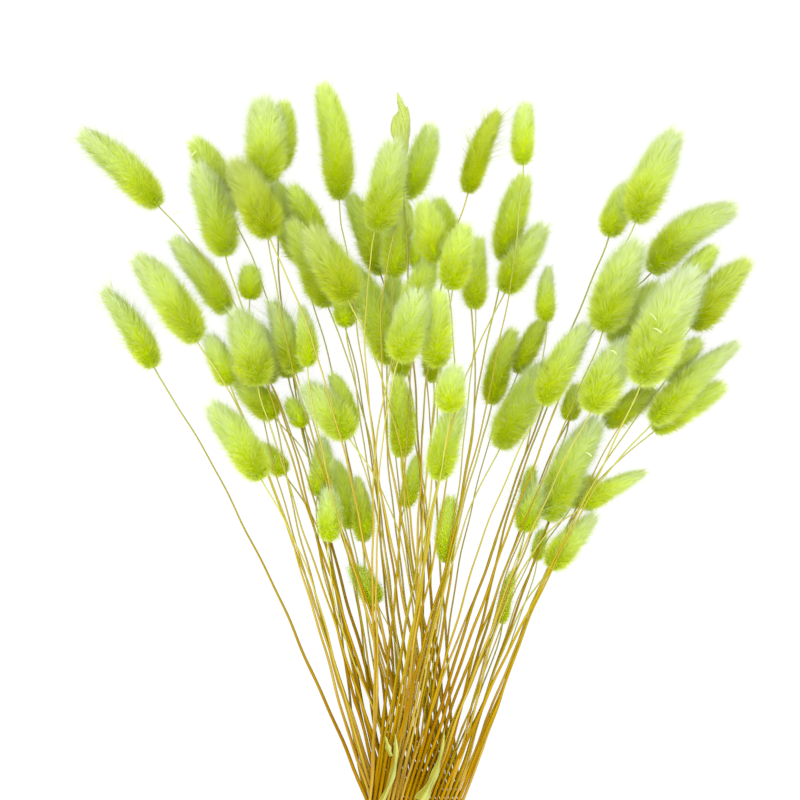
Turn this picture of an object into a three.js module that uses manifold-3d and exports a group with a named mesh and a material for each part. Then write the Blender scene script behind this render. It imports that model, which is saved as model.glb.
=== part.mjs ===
// Dried bunny tail grass: a loose, untied bunch of cut flower stems lying on a table.
// Units are millimetres. X runs across the bunch, Y from the cut ends towards the heads, Z up.
// The bunch is laid down stem by stem, from the rearmost to the foremost, as a hand would lay it:
// each stem keeps its place in plan, and rests on the table or on what lies there already.

import * as THREE from 'three';
import { mergeVertices } from 'three/addons/utils/BufferGeometryUtils.js';
import Module from 'manifold-3d';

const wasm = await Module();
wasm.setup();

// A middling head, as a real size and as pixels of the picture, sets the scale of the list below.
const TYPICAL_HEAD_LENGTH = 50;
const TYPICAL_HEAD_PIXELS = 91;
const MM_PER_PIXEL = TYPICAL_HEAD_LENGTH / TYPICAL_HEAD_PIXELS;
// The waist, where the stems come together, as a pixel of the picture. It is the origin of the plan.
const WAIST_PIXEL_X = 415;
const WAIST_PIXEL_Y = 808;

// The flower heads. Each row gives a head's base x and y, its tip x and y, and its width over the
// soft hairs, as pixels of the picture. The order is the order of laying: first the stems that lean to
// the left, then those that lean to the right, and each half from its rearmost head to its foremost.
const LEFT_HEADS = [
  [278, 169, 283, 99, 30], [300, 262, 272, 182, 36], [318, 250, 291, 187, 34],
  [328, 307, 290, 222, 40], [230, 212, 192, 138, 36], [381, 275, 349, 193, 34],
  [410, 235, 404, 195, 14], [388, 345, 393, 273, 30], [398, 379, 404, 318, 26],
  [346, 327, 340, 288, 28], [350, 530, 332, 460, 28], [352, 430, 331, 374, 26],
  [284, 475, 258, 446, 26], [268, 384, 258, 325, 30], [288, 378, 276, 335, 26],
  [303, 427, 288, 400, 24], [249, 299, 248, 266, 28], [377, 604, 352, 567, 28],
  [404, 508, 417, 455, 22], [392, 365, 350, 265, 40], [339, 200, 321, 79, 36],
  [393, 278, 395, 194, 34], [402, 155, 399, 93, 20], [405, 197, 431, 124, 34],
  [401, 458, 397, 376, 30], [317, 497, 322, 437, 28], [363, 542, 357, 477, 26],
  [296, 373, 271, 303, 36], [275, 418, 236, 380, 34], [230, 385, 208, 337, 32],
  [227, 313, 170, 237, 34], [264, 183, 260, 98, 44], [225, 256, 196, 165, 42],
  [158, 206, 77, 130, 38], [153, 368, 101, 288, 34], [197, 342, 134, 256, 42],
  [262, 480, 210, 404, 38], [349, 438, 305, 387, 40], [328, 541, 328, 490, 28],
  [258, 386, 236, 312, 44], [308, 367, 301, 306, 26], [349, 302, 310, 232, 44],
  [270, 238, 233, 163, 44], [375, 232, 392, 142, 40],
];
const RIGHT_HEADS = [
  [455, 245, 438, 198, 30], [418, 272, 421, 228, 20], [408, 312, 430, 258, 34],
  [434, 383, 436, 325, 24], [446, 563, 452, 495, 24], [503, 626, 515, 570, 16],
  [538, 562, 545, 530, 18], [572, 508, 597, 478, 24], [528, 515, 534, 466, 20],
  [570, 421, 580, 385, 24], [606, 426, 658, 390, 30], [667, 380, 702, 340, 30],
  [655, 432, 728, 385, 32], [616, 346, 660, 285, 40], [675, 300, 718, 246, 30],
  [518, 374, 545, 320, 26], [468, 193, 500, 108, 28], [505, 262, 527, 173, 34],
  [440, 262, 424, 204, 36], [476, 309, 480, 236, 30], [452, 291, 465, 227, 36],
  [438, 368, 439, 292, 36], [438, 480, 460, 400, 34], [547, 322, 550, 266, 25],
  [492, 405, 515, 328, 30], [610, 236, 632, 183, 32], [692, 328, 750, 262, 44],
  [548, 522, 600, 418, 40], [525, 532, 538, 487, 30], [582, 508, 648, 472, 26],
  [550, 569, 596, 516, 34], [652, 273, 740, 207, 40], [505, 293, 546, 225, 36],
  [398, 361, 416, 293, 40], [449, 412, 455, 368, 34], [524, 164, 528, 100, 27],
  [636, 222, 679, 130, 44], [500, 449, 552, 362, 40], [542, 405, 588, 325, 36],
  [602, 332, 638, 243, 46], [590, 412, 628, 345, 44], [652, 424, 742, 342, 36],
  [640, 385, 693, 272, 56],
];

// A stem is three-sided, with its corners this far from its middle. Its joint, at the waist, is thicker.
const STEM_RADIUS = 1;
const JOINT_RADIUS = 1.3;
const JOINT_HALF_LENGTH = 5;
const STEM_SECTION = [90, 210, 330];
const STEM_STEP = 22;
// From the waist down to the cut ends, and how much that differs from stem to stem.
const LENGTH_BELOW = 108;
const LENGTH_SPREAD = 30;

// At the waist the stems lie in four flat sheets, each leaning its own way, in degrees from Y: two to
// the left, and over them two to the right. The sheets of a half touch each other at the joints.
const SHEET_LEANS = [-12, -15, 13, 16];
const COLUMN_PITCH = 2.4;
const TOUCHING_PITCH = 1.65;
const CLEAR_PITCH = 2;
const SHEET_HEIGHTS = [0, TOUCHING_PITCH, TOUCHING_PITCH + CLEAR_PITCH, 2 * TOUCHING_PITCH + CLEAR_PITCH];
// A stem leaves the waist turned this share of the way from its sheet's lean towards its own head.
const FAN_SHARE = 0.5;
// Below the waist the stems spread by this many degrees a column, and each strays by up to half of the other.
const SPREAD_BELOW = 0.3;
const STRAY_BELOW = 0.4;

// A head's solid core is this share of its width over the hairs.
const BODY_SHARE = 0.8;
// The head's outline: a higher bluntness makes its ends rounder, and a skew under 1 makes its tip slimmer.
const PROFILE_BLUNTNESS = 2.8;
const PROFILE_SKEW = 0.86;
const HEAD_SIDES = 8;
const RING_PLACES = [0.07, 0.24, 0.43, 0.62, 0.8, 0.94];
// Every other corner of a ring is a spikelet's tip. The corners between lie lower, and the tips point on.
const VALLEY = 0.8;
const SPIKELET_REACH = 0.035;
// A head bows outwards by this share of its length, and one head, by its place in the list, more.
const HEAD_BOW = 0.04;
const CURVED_HEAD = 75;
const CURVED_BOW = 0.11;
// A head that lies on the table is pressed flat there, down to this share of its radius.
const PRESSED = 0.72;

// Clearances while laying: between two stems' circles, and between a head and anything else.
const STEM_CLEARANCE = -0.05;
const HEAD_CLEARANCE = 0.2;
// Steps for testing: along a stem and along a head.
const STEM_SAMPLES = 38;
const HEAD_SAMPLE_STEP = 3;
const SLOPE_LIMIT = 0.2;
const SLOPE_STEPS = 12;
const SLOPE_COST = 2;
const LIFT_SWEEPS = 15;
const LEAST_SHARE = 0.2;

// The dried leaves at the waist: where each starts and ends in plan, and its greatest width.
const LEAVES = [
  { name: 'leaf_left', from: [-19, 1], to: [-8.8, 41], width: 5 },
  { name: 'leaf_right', from: [3, 3], to: [17, 43], width: 5 },
  { name: 'leaf_small', from: [-13, 28], to: [-16, 40], width: 3.2 },
];
const LEAF_THICKNESS = 0.8;
const LEAF_CLEARANCE = 0.3;
const LEAF_ARCH = 0.22;
const LEAF_STEPS = 8;
// A leaf rests on the stems within this reach of its middle line.
const LEAF_REACH = 3.6;

// The middle of the whole bunch in plan, from the waist.
const MIDDLE_X = -0.4;
const MIDDLE_Y = 140.2;

const HEAD_COLOUR = 0xc9d46a;
const LEAF_COLOUR = 0xd2d76e;

const degrees = THREE.MathUtils.degToRad;

/** A repeatable number from 0 to 1 for draw k of item i. */
function seeded(i, k) {
  const x = Math.sin(i * 12.9898 + k * 78.233) * 43758.5453;
  return x - Math.floor(x);
}

/** A pixel of the picture as a place in plan, from the waist. */
function plan(x, y) {
  return new THREE.Vector2((x - WAIST_PIXEL_X) * MM_PER_PIXEL, (WAIST_PIXEL_Y - y) * MM_PER_PIXEL);
}

/** The unit vector that leans the given angle from Y towards X. */
function leaning(angle) {
  return new THREE.Vector2(Math.sin(angle), Math.cos(angle));
}

/** A head's radius at the share t of its length, as a share of its greatest: long, and blunt at both ends. */
function headProfile(t) {
  const across = Math.abs(2 * Math.min(Math.max(t, 0), 1) ** PROFILE_SKEW - 1);
  return Math.sqrt(1 - Math.min(across, 1) ** PROFILE_BLUNTNESS);
}

/** The flowers with their places in plan, in the order of laying. */
function readFlowers() {
  return [...LEFT_HEADS, ...RIGHT_HEADS].map(([bx, by, tx, ty, width], index) => {
    const base = plan(bx, by);
    const tip = plan(tx, ty);
    const axis = tip.clone().sub(base);
    return {
      index,
      base,
      length: axis.length(),
      direction: axis.normalize(),
      radius: 0.5 * width * MM_PER_PIXEL * BODY_SHARE,
      fan: Math.atan2(base.x, base.y),
    };
  });
}

/** Gives each flower its sheet and its column at the waist: columns run in the order of the fan. */
function giveSlots(flowers) {
  const perSheet = Math.ceil(flowers.length / SHEET_LEANS.length);
  SHEET_LEANS.forEach((lean, sheet) => {
    flowers
      .slice(sheet * perSheet, (sheet + 1) * perSheet)
      .sort((a, b) => a.fan - b.fan)
      .forEach((flower, column) => {
        flower.sheet = sheet;
        flower.column = column;
        const place = column - (perSheet - 1) / 2;
        flower.waist = new THREE.Vector2(place * COLUMN_PITCH, 0);
        flower.waistHeight = STEM_RADIUS / 2 + SHEET_HEIGHTS[sheet];
        flower.lean = degrees(lean);
        const stray = (seeded(flower.index, 3) - 0.5) * STRAY_BELOW;
        flower.leanBelow = degrees(lean - place * SPREAD_BELOW + stray);
      });
  });
}

/** The stem's knots in plan: cut end, the three of the joint, and a curve that runs into the head. */
function stemKnots(flower) {
  const low = leaning(flower.leanBelow);
  const away = leaning(flower.lean + FAN_SHARE * (flower.fan - flower.lean));
  const below = LENGTH_BELOW + (seeded(flower.index, 2) - 0.5) * LENGTH_SPREAD;
  const start = flower.waist.clone().addScaledVector(away, JOINT_HALF_LENGTH);
  const reach = start.distanceTo(flower.base);
  const curve = new THREE.CubicBezierCurve(
    start,
    start.clone().addScaledVector(away, reach / 3),
    flower.base.clone().addScaledVector(flower.direction, -reach / 3),
    flower.base,
  );
  const steps = Math.max(2, Math.round(reach / STEM_STEP));
  return [
    flower.waist.clone().addScaledVector(low, -below),
    flower.waist.clone().addScaledVector(low, -JOINT_HALF_LENGTH),
    flower.waist.clone(),
    ...curve.getPoints(steps),
  ];
}

/** The head's axis in plan at the share t of its length: straight, with a slight bow outwards. */
function headAxis(flower, t) {
  const most = flower.index === CURVED_HEAD ? CURVED_BOW : HEAD_BOW;
  const bow = -most * flower.length * Math.sign(flower.base.x) * 4 * t * (1 - t);
  return new THREE.Vector2(
    flower.base.x + flower.direction.x * flower.length * t + flower.direction.y * bow,
    flower.base.y + flower.direction.y * flower.length * t - flower.direction.x * bow,
  );
}

/** How high the middle of a ball must be to clear every ball that lies there already. */
function heightOver(pile, x, y, radius, skip) {
  let height = -Infinity;
  for (const ball of pile) {
    if (ball.owner === skip) continue;
    const clearance = ball.head || skip === undefined ? HEAD_CLEARANCE : STEM_CLEARANCE;
    const reach = radius + ball.radius + clearance;
    const square = reach * reach - (x - ball.x) ** 2 - (y - ball.y) ** 2;
    if (square > 0) height = Math.max(height, ball.z + Math.sqrt(square));
  }
  return height;
}

/** The lowest straight line z = start + slope * s over all (s, z), with its middle over the head lowest. */
function settle(points, length) {
  let best = null;
  for (let k = 0; k <= SLOPE_STEPS; k++) {
    const slope = SLOPE_LIMIT * ((2 * k) / SLOPE_STEPS - 1);
    const start = Math.max(...points.map(([s, z]) => z - slope * s));
    const middle = start + (slope * length) / 2 + SLOPE_COST * Math.abs(slope);
    if (!best || middle < best.middle - 1e-9) best = { middle, start, slope };
  }
  return best;
}

/** A taut line over points (s, z) given in order, as its height at any s. */
function tautLine(points) {
  const hull = [];
  for (const [s, z] of points) {
    while (hull.length > 1) {
      const [a, b] = hull.slice(-2);
      if ((b[1] - a[1]) * (s - b[0]) > (z - b[1]) * (b[0] - a[0])) break;
      hull.pop();
    }
    hull.push([s, z]);
  }
  return (s) => {
    const k = Math.max(1, hull.findIndex(([end]) => end >= s));
    const [a, b] = [hull[k - 1], hull[k]];
    return a[1] + ((b[1] - a[1]) * (s - a[0])) / (b[0] - a[0]);
  };
}

/** Lays one flower on the pile: finds the heights of its knots and its head, and adds it to the pile. */
function lay(flower, pile, mate) {
  const knots = stemKnots(flower);
  const last = knots.length - 1;
  const along = [0];
  for (let k = 1; k <= last; k++) along.push(along[k - 1] + knots[k].distanceTo(knots[k - 1]));

  // Samples of the stem above its joint, each with the height that it needs.
  const samples = [];
  for (let k = 3; k < last; k++) {
    for (let j = 0; j < STEM_SAMPLES; j++) {
      const share = (j + 0.5) / STEM_SAMPLES;
      const { x, y } = knots[k].clone().lerp(knots[k + 1], share);
      const s = along[k] + (along[k + 1] - along[k]) * share;
      const need = Math.max(heightOver(pile, x, y, STEM_RADIUS, mate), STEM_RADIUS / 2);
      samples.push({ k, share, x, y, s, need });
    }
  }

  // The head and the last piece of its stem lie as one straight stick.
  const count = Math.max(7, Math.round(flower.length / HEAD_SAMPLE_STEP) + 1);
  const head = Array.from({ length: count }, (_, j) => {
    const t = j / (count - 1);
    const { x, y } = headAxis(flower, t);
    const radius = Math.max(flower.radius * headProfile(t), STEM_RADIUS);
    const need = Math.max(heightOver(pile, x, y, radius), radius * PRESSED, STEM_RADIUS / 2);
    return { x, y, radius, s: t * flower.length, need };
  });
  const neck = samples.filter((sample) => sample.k === last - 1);
  const line = settle([
    ...neck.map(({ s, need }) => [s - along[last], need]),
    ...head.map(({ s, need }) => [s, need]),
  ], flower.length);

  // The rest of the stem starts as a taut line from the joint over what it crosses.
  const onLine = (s) => line.start + line.slope * (s - along[last]);
  const taut = tautLine([
    [along[3], flower.waistHeight],
    ...samples.map(({ k, s, need }) => [s, k === last - 1 ? onLine(s) : need]),
    [along[last], line.start],
  ]);
  const heights = along.map((s, k) => (k < 4 ? flower.waistHeight : taut(s)));
  heights[last] = line.start;
  const heightAt = ({ k, share }) => heights[k] * (1 - share) + heights[k + 1] * share;

  // Knots are lifted where the straight piece between two of them would still cut into something.
  for (let sweep = 0; sweep < LIFT_SWEEPS; sweep++) {
    for (const sample of samples) {
      const short = sample.need - heightAt(sample);
      if (short <= 1e-6) continue;
      const { k, share } = sample;
      const rear = k > 3 ? 1 - share : 0;
      const fore = k + 1 < last ? share : 0;
      if (rear && fore) {
        heights[k] += (short * rear) / (rear * rear + fore * fore);
        heights[k + 1] += (short * fore) / (rear * rear + fore * fore);
      } else if (rear) {
        heights[k] += short / Math.max(rear, LEAST_SHARE);
      } else if (fore) {
        heights[k + 1] += short / Math.max(fore, LEAST_SHARE);
      }
    }
  }

  const owner = flower.index;
  for (const sample of samples) {
    pile.push({ owner, head: false, x: sample.x, y: sample.y, z: heightAt(sample), radius: STEM_RADIUS });
  }
  for (const { x, y, radius, s } of head) {
    pile.push({ owner, head: true, x, y, z: line.start + line.slope * s, radius });
  }
  flower.knots = knots.map(({ x, y }, k) => new THREE.Vector3(x, y, heights[k]));
  flower.headHeight = line.start;
  flower.headSlope = line.slope;
}

/** A ring of points round a middle, across a direction. Angle 90 is its upper side. */
function ring(middle, direction, points) {
  const side = new THREE.Vector3().crossVectors(direction, new THREE.Vector3(0, 0, 1)).normalize();
  const up = new THREE.Vector3().crossVectors(side, direction).normalize();
  return points.map(({ angle, radius, forward = 0 }) =>
    middle.clone()
      .addScaledVector(side, radius * Math.cos(degrees(angle)))
      .addScaledVector(up, radius * Math.sin(degrees(angle)))
      .addScaledVector(direction, forward));
}

/** The stem's rings, from the cut end to the head's base. */
function stemRings(flower) {
  const { knots } = flower;
  return knots.map((knot, k) => {
    const ahead = knots[Math.min(k + 1, knots.length - 1)];
    const behind = knots[Math.max(k - 1, 0)];
    const direction = ahead.clone().sub(behind).normalize();
    const radius = k === 2 ? JOINT_RADIUS : STEM_RADIUS;
    return ring(knot, direction, STEM_SECTION.map((angle) => ({ angle, radius })));
  });
}

/** The head's axis in space at the share t of its length. */
function headPoint(flower, t) {
  const { x, y } = headAxis(flower, t);
  return new THREE.Vector3(x, y, flower.headHeight + flower.headSlope * t * flower.length);
}

/** The head's rings of spikelets, each ring's tips standing between those of the ring below. */
function headRings(flower) {
  const step = 0.02;
  return RING_PLACES.map((t, row) => {
    const direction = headPoint(flower, t + step).sub(headPoint(flower, t - step)).normalize();
    const corners = Array.from({ length: HEAD_SIDES }, (_, k) => {
      const isTip = (k + row) % 2 === 0;
      return {
        angle: ((k + 0.5) * 360) / HEAD_SIDES,
        radius: flower.radius * headProfile(t) * (isTip ? 1 : VALLEY),
        forward: isTip ? SPIKELET_REACH * flower.length : 0,
      };
    });
    return ring(headPoint(flower, t), direction, corners);
  });
}

/** Triangles of the wall between two rings with as many corners each, facing outwards. */
function wall(first, second, count) {
  const faces = [];
  for (let k = 0; k < count; k++) {
    const next = (k + 1) % count;
    faces.push([first + k, second + k, first + next], [first + next, second + k, second + next]);
  }
  return faces;
}

/** Triangles from a three-sided ring to the eight-sided ring after it. */
function shoulder(first, second) {
  const nearest = [2, 0, 0, 1, 1, 1, 2, 2];
  return nearest.flatMap((corner, k) => {
    const next = (k + 1) % nearest.length;
    const faces = [[first + corner, second + k, second + next]];
    if (nearest[next] !== corner) faces.push([first + corner, second + next, first + nearest[next]]);
    return faces;
  });
}

/** One flower as a closed surface: cut end, stem, shoulder, spikelets and tip. */
function flowerSurface(flower) {
  const stem = stemRings(flower);
  const head = headRings(flower);
  const sides = STEM_SECTION.length;
  const points = [...stem.flat(), ...head.flat(), headPoint(flower, 1)];
  const faces = [[0, 1, 2]];
  for (let j = 1; j < stem.length; j++) faces.push(...wall((j - 1) * sides, j * sides, sides));
  const headStart = stem.length * sides;
  faces.push(...shoulder(headStart - sides, headStart));
  for (let j = 1; j < head.length; j++) {
    faces.push(...wall(headStart + (j - 1) * HEAD_SIDES, headStart + j * HEAD_SIDES, HEAD_SIDES));
  }
  const lastRing = headStart + (head.length - 1) * HEAD_SIDES;
  const pole = points.length - 1;
  for (let k = 0; k < HEAD_SIDES; k++) faces.push([lastRing + k, pole, lastRing + ((k + 1) % HEAD_SIDES)]);
  // What would reach below the table is pressed flat on it.
  points.forEach((point) => { point.z = Math.max(point.z, 0); });
  return { points, faces };
}

/** A closed surface as a solid for joining. */
function solidOf({ points, faces }) {
  const geometry = new THREE.BufferGeometry();
  geometry.setAttribute('position', new THREE.Float32BufferAttribute(points.flatMap((p) => p.toArray()), 3));
  geometry.setIndex(faces.flat());
  const merged = mergeVertices(geometry, 1e-4);
  return new wasm.Manifold(new wasm.Mesh({
    numProp: 3,
    vertProperties: Float32Array.from(merged.attributes.position.array),
    triVerts: Uint32Array.from(merged.index.array),
  }));
}

/** A solid back as a named mesh. */
function meshOf(name, solid, colour) {
  const { vertProperties, triVerts } = solid.getMesh();
  const geometry = new THREE.BufferGeometry();
  geometry.setAttribute('position', new THREE.BufferAttribute(vertProperties, 3));
  geometry.setIndex(new THREE.BufferAttribute(triVerts, 1));
  geometry.computeVertexNormals();
  const material = new THREE.MeshStandardMaterial({ color: colour, roughness: 0.9, metalness: 0 });
  const mesh = new THREE.Mesh(geometry, material);
  mesh.name = name;
  return mesh;
}

/** The height of the top of the stems' ridges at a place near the waist. */
function stemTops(flowers, x, y) {
  const top = SHEET_HEIGHTS[SHEET_HEIGHTS.length - 1] + STEM_RADIUS / 2 + JOINT_RADIUS;
  let height = top;
  for (const { knots } of flowers) {
    for (let k = 3; k < knots.length - 1; k++) {
      const [a, b] = [knots[k], knots[k + 1]];
      if (a.y > y || b.y < y) continue;
      const share = (y - a.y) / (b.y - a.y);
      const distance = Math.abs(a.x + (b.x - a.x) * share - x);
      if (distance < LEAF_REACH) height = Math.max(height, a.z + (b.z - a.z) * share + STEM_RADIUS);
    }
  }
  return height;
}

/** A dried leaf: a thin arched blade that lies on the stems and narrows to both ends. */
function leafSurface(leaf, flowers) {
  const from = new THREE.Vector2(...leaf.from);
  const to = new THREE.Vector2(...leaf.to);
  const direction = to.clone().sub(from).normalize();
  const forward = new THREE.Vector3(direction.x, direction.y, 0);
  const rings = [];
  const floor = [];
  for (let j = 0; j <= LEAF_STEPS; j++) {
    const { x, y } = from.clone().lerp(to, j / LEAF_STEPS);
    floor.push(stemTops(flowers, x, y));
  }
  for (let j = 0; j <= LEAF_STEPS; j++) {
    const t = j / LEAF_STEPS;
    const place = from.clone().lerp(to, t);
    const height = Math.max(floor[Math.max(j - 1, 0)], floor[j], floor[Math.min(j + 1, LEAF_STEPS)]);
    const half = (leaf.width / 2) * (0.25 + 0.75 * Math.sin(Math.PI * (0.12 + 0.8 * t)));
    const low = height + LEAF_CLEARANCE;
    const arch = LEAF_ARCH * half;
    const section = [
      [half, low + LEAF_THICKNESS], [0, low + LEAF_THICKNESS + arch], [-half, low + LEAF_THICKNESS],
      [-half, low], [0, low + arch], [half, low],
    ];
    const across = new THREE.Vector3().crossVectors(forward, new THREE.Vector3(0, 0, 1));
    rings.push(section.map(([offset, z]) =>
      new THREE.Vector3(place.x, place.y, z).addScaledVector(across, offset)));
  }
  const count = rings[0].length;
  const faces = [[0, 1, 4], [0, 4, 5], [1, 2, 3], [1, 3, 4]];
  for (let j = 1; j < rings.length; j++) faces.push(...wall((j - 1) * count, j * count, count));
  const end = (rings.length - 1) * count;
  for (const [a, b, c] of faces.slice(0, 4)) faces.push([end + a, end + c, end + b]);
  return { points: rings.flat(), faces };
}

const flowers = readFlowers();
giveSlots(flowers);
const pile = [];
const mateOf = (flower) => flowers.find(({ sheet, column }) =>
  column === flower.column && Math.floor(sheet / 2) === Math.floor(flower.sheet / 2) && sheet < flower.sheet);
for (const flower of flowers) lay(flower, pile, mateOf(flower)?.index ?? -1);

const bunch = new THREE.Group();
bunch.position.set(-MIDDLE_X, -MIDDLE_Y, 0);

// Two stems that touch at their joints make one node, named by its pair of sheets and its column.
for (const upper of [false, true]) {
  const layer = flowers.filter(({ sheet }) => (sheet >= 2) === upper);
  const columns = Math.max(...layer.map(({ column }) => column)) + 1;
  for (let column = 0; column < columns; column++) {
    const solids = layer.filter((flower) => flower.column === column).map((flower) => solidOf(flowerSurface(flower)));
    const joined = solids.reduce((whole, solid) => whole.add(solid));
    const name = `flowers_${upper ? 'upper' : 'lower'}_${String(column + 1).padStart(2, '0')}`;
    bunch.add(meshOf(name, joined, HEAD_COLOUR));
  }
}
for (const leaf of LEAVES) bunch.add(meshOf(leaf.name, solidOf(leafSurface(leaf, flowers)), LEAF_COLOUR));

export default bunch;
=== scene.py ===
"""Dried bunny tail grass: a loose bunch laid on a table, seen from above.

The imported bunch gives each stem's heights, and the heads' places in plan are listed here again, so every
piece below lies where its solid does. Each flower gets a round jointed stem, a green core and a soft
coat of fine hairs. All shapes are worked out in millimetres and put into meshes in metres.
"""

import logging
import math
from dataclasses import dataclass, field
from enum import Enum

import bpy
import numpy as np
from bpy.types import ID, Material, Node, NodeSocket, NodeTree, Object
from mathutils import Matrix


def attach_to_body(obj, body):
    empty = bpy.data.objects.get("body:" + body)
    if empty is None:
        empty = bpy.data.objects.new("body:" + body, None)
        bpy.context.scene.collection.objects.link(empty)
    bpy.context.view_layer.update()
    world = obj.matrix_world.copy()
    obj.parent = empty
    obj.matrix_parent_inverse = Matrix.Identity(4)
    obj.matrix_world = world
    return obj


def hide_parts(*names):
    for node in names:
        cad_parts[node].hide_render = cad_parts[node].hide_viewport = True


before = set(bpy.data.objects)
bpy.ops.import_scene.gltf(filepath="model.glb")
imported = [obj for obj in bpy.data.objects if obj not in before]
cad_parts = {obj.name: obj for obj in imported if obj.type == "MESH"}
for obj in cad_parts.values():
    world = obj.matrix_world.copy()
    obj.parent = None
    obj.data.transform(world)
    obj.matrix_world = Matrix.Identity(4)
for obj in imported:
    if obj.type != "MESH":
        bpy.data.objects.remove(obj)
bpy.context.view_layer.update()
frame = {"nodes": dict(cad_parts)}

LOG = logging.getLogger("bunny_tail_grass")
MM = 0.001
MAP_NAME = "OFBake"
UP = (0.0, 0.0, 1.0)
Array = np.ndarray
Colour = tuple[float, ...]

# The angle between one seed or hair and the next in a growing head, and the least height over the table.
GOLDEN_ANGLE = 2.399963
TABLE_GAP = 0.1

# The scale of the picture, its waist and its middle, and the middle of the bunch's box from the waist.
MM_PER_PIXEL = 50 / 91
WAIST_PIXEL = np.array([415.0, 808.0])
PICTURE_MIDDLE = np.array([400.0, 400.0])
BOX_MIDDLE = np.array([-0.4, 140.2])

# Each head's base x and y, tip x and y, and width over the hairs, in pixels, in the order of laying:
# the stems that lean to the left, then those that lean to the right, each half from rear to front.
LEFT_HEADS = [
    (278, 169, 283, 99, 30), (300, 262, 272, 182, 36), (318, 250, 291, 187, 34),
    (328, 307, 290, 222, 40), (230, 212, 192, 138, 36), (381, 275, 349, 193, 34),
    (410, 235, 404, 195, 14), (388, 345, 393, 273, 30), (398, 379, 404, 318, 26),
    (346, 327, 340, 288, 28), (350, 530, 332, 460, 28), (352, 430, 331, 374, 26),
    (284, 475, 258, 446, 26), (268, 384, 258, 325, 30), (288, 378, 276, 335, 26),
    (303, 427, 288, 400, 24), (249, 299, 248, 266, 28), (377, 604, 352, 567, 28),
    (404, 508, 417, 455, 22), (392, 365, 350, 265, 40), (339, 200, 321, 79, 36),
    (393, 278, 395, 194, 34), (402, 155, 399, 93, 20), (405, 197, 431, 124, 34),
    (401, 458, 397, 376, 30), (317, 497, 322, 437, 28), (363, 542, 357, 477, 26),
    (296, 373, 271, 303, 36), (275, 418, 236, 380, 34), (230, 385, 208, 337, 32),
    (227, 313, 170, 237, 34), (264, 183, 260, 98, 44), (225, 256, 196, 165, 42),
    (158, 206, 77, 130, 38), (153, 368, 101, 288, 34), (197, 342, 134, 256, 42),
    (262, 480, 210, 404, 38), (349, 438, 305, 387, 40), (328, 541, 328, 490, 28),
    (258, 386, 236, 312, 44), (308, 367, 301, 306, 26), (349, 302, 310, 232, 44),
    (270, 238, 233, 163, 44), (375, 232, 392, 142, 40),
]
RIGHT_HEADS = [
    (455, 245, 438, 198, 30), (418, 272, 421, 228, 20), (408, 312, 430, 258, 34),
    (434, 383, 436, 325, 24), (446, 563, 452, 495, 24), (503, 626, 515, 570, 16),
    (538, 562, 545, 530, 18), (572, 508, 597, 478, 24), (528, 515, 534, 466, 20),
    (570, 421, 580, 385, 24), (606, 426, 658, 390, 30), (667, 380, 702, 340, 30),
    (655, 432, 728, 385, 32), (616, 346, 660, 285, 40), (675, 300, 718, 246, 30),
    (518, 374, 545, 320, 26), (468, 193, 500, 108, 28), (505, 262, 527, 173, 34),
    (440, 262, 424, 204, 36), (476, 309, 480, 236, 30), (452, 291, 465, 227, 36),
    (438, 368, 439, 292, 36), (438, 480, 460, 400, 34), (547, 322, 550, 266, 25),
    (492, 405, 515, 328, 30), (610, 236, 632, 183, 32), (692, 328, 750, 262, 44),
    (548, 522, 600, 418, 40), (525, 532, 538, 487, 30), (582, 508, 648, 472, 26),
    (550, 569, 596, 516, 34), (652, 273, 740, 207, 40), (505, 293, 546, 225, 36),
    (398, 361, 416, 293, 40), (449, 412, 455, 368, 34), (524, 164, 528, 100, 27),
    (636, 222, 679, 130, 44), (500, 449, 552, 362, 40), (542, 405, 588, 325, 36),
    (602, 332, 638, 243, 46), (590, 412, 628, 345, 44), (652, 424, 742, 342, 36),
    (640, 385, 693, 272, 56),
]

# How the solids are laid: these repeat the named sizes of the bunch's own source.
SHEET_LEANS = (-12.0, -15.0, 13.0, 16.0)
COLUMN_PITCH = 2.4
SHEET_HEIGHTS = (0.0, 1.65, 3.65, 5.3)
STEM_RADIUS = 1.0
JOINT_HALF_LENGTH = 5.0
STEM_STEP = 22.0
LENGTH_BELOW = 108.0
LENGTH_SPREAD = 30.0
FAN_SHARE = 0.5
SPREAD_BELOW = 0.3
STRAY_BELOW = 0.4
HEAD_BOW = 0.04
CURVED_HEAD = 75
CURVED_BOW = 0.11


class Tint(Enum):
    """The heads' tints, as a place on the tint scale from olive, 0, to bright, 1; the deep one is painted
    shade.
    """

    OLIVE = 0.12
    # Painted shade: the heads that lie in shade are tinted deeper.
    DEEP_IN_SHADE = 0.3
    PLAIN = 0.55
    BRIGHT = 0.88


class Part(Enum):
    """A head's parts: each one's material slot, and the strip of the map's height that it has to itself."""

    HAIR = (0, 0.0, 0.55)
    CORE = (1, 0.77, 0.87)
    AWN = (2, 0.57, 0.75)
    BENT = (3, 0.89, 1.0)

    @property
    def slot(self) -> int:
        """The slot of the part's material."""
        return self.value[0]

    def at(self, share: float | Array) -> float | Array:
        """The map's height at a share of the strip, from 0 to 1."""
        _, low, high = self.value
        return low + (high - low) * share


TINTED_HEADS = {
    Tint.OLIVE: {26, 41, 42, 60},
    # The heads that lie in shade, with their deeper tint painted on.
    Tint.DEEP_IN_SHADE: {3, 13, 14, 24, 28, 47, 54, 59, 68, 70},
    Tint.BRIGHT: {21, 55, 65, 84, 86},
}
SHEATHED_HEAD = 22
AWNED_HEADS = {27, 33, 34, 60, 72}
TAPERED_HEADS = {26, 27, 34, 40, 67, 70, 73, 74, 85}

# Single stiff awns that have bent over and lie on the coat: the head, and both ends in pixels.
BENT_AWNS = [
    (86, 646, 312, 655, 321), (86, 650, 328, 661, 334), (84, 607, 350, 616, 354), (71, 585, 452, 592, 457),
    (4, 190, 158, 196, 150), (32, 170, 216, 182, 210),
]


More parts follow.
